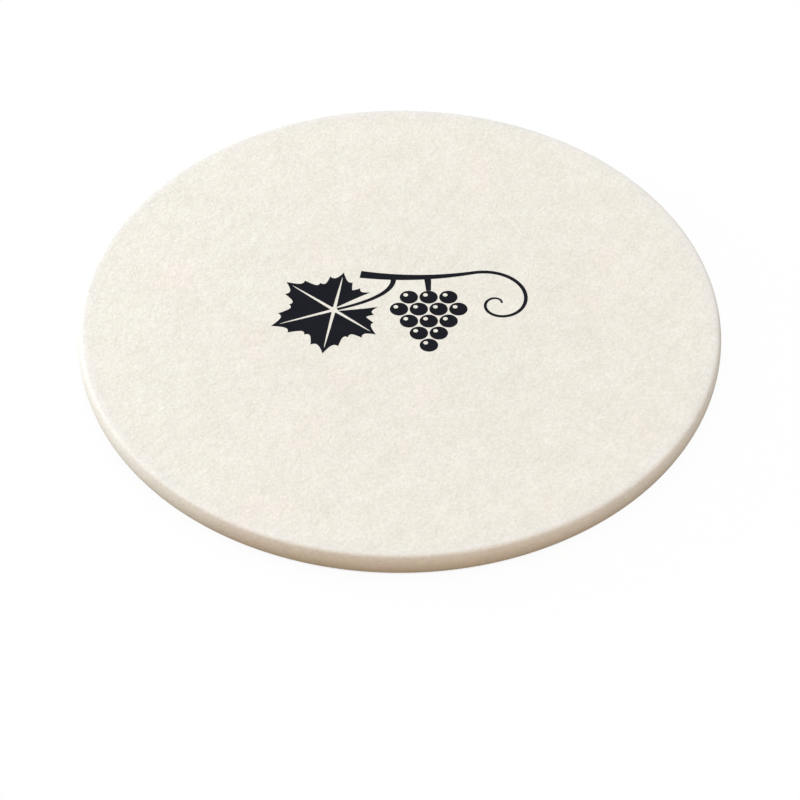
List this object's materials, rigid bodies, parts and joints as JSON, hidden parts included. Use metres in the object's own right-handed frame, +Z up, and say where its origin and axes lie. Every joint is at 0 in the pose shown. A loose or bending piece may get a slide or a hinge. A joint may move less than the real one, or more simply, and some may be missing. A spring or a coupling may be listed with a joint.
{
  "type": "wine bottle coaster",
  "caption": "Flat round absorbent coaster: a thick ivory pressed-fibre disc with eased edges on a thin set-back cork base, for a bottle or a glass to stand on.",
  "frame": {"origin": "centre of the underside of the cork base, on the table", "axes": "+Z up, out of the face that the bottle stands on; the part is round, and the print on its face reads upright when it is seen from the -Y side with +X to the right"},
  "size_m": [0.12, 0.12, 0.0058],
  "materials": {
    "pressed_fibre": "matte ivory with a fine pressed-fibre grain",
    "adhesive": "satin, pale amber",
    "cork": "matte granulated cork"
  },
  "bodies": {
    "root": {"absorbent_disc": "pressed_fibre", "adhesive_film": "adhesive", "cork_base": "cork"}
  },
  "joints": []
}
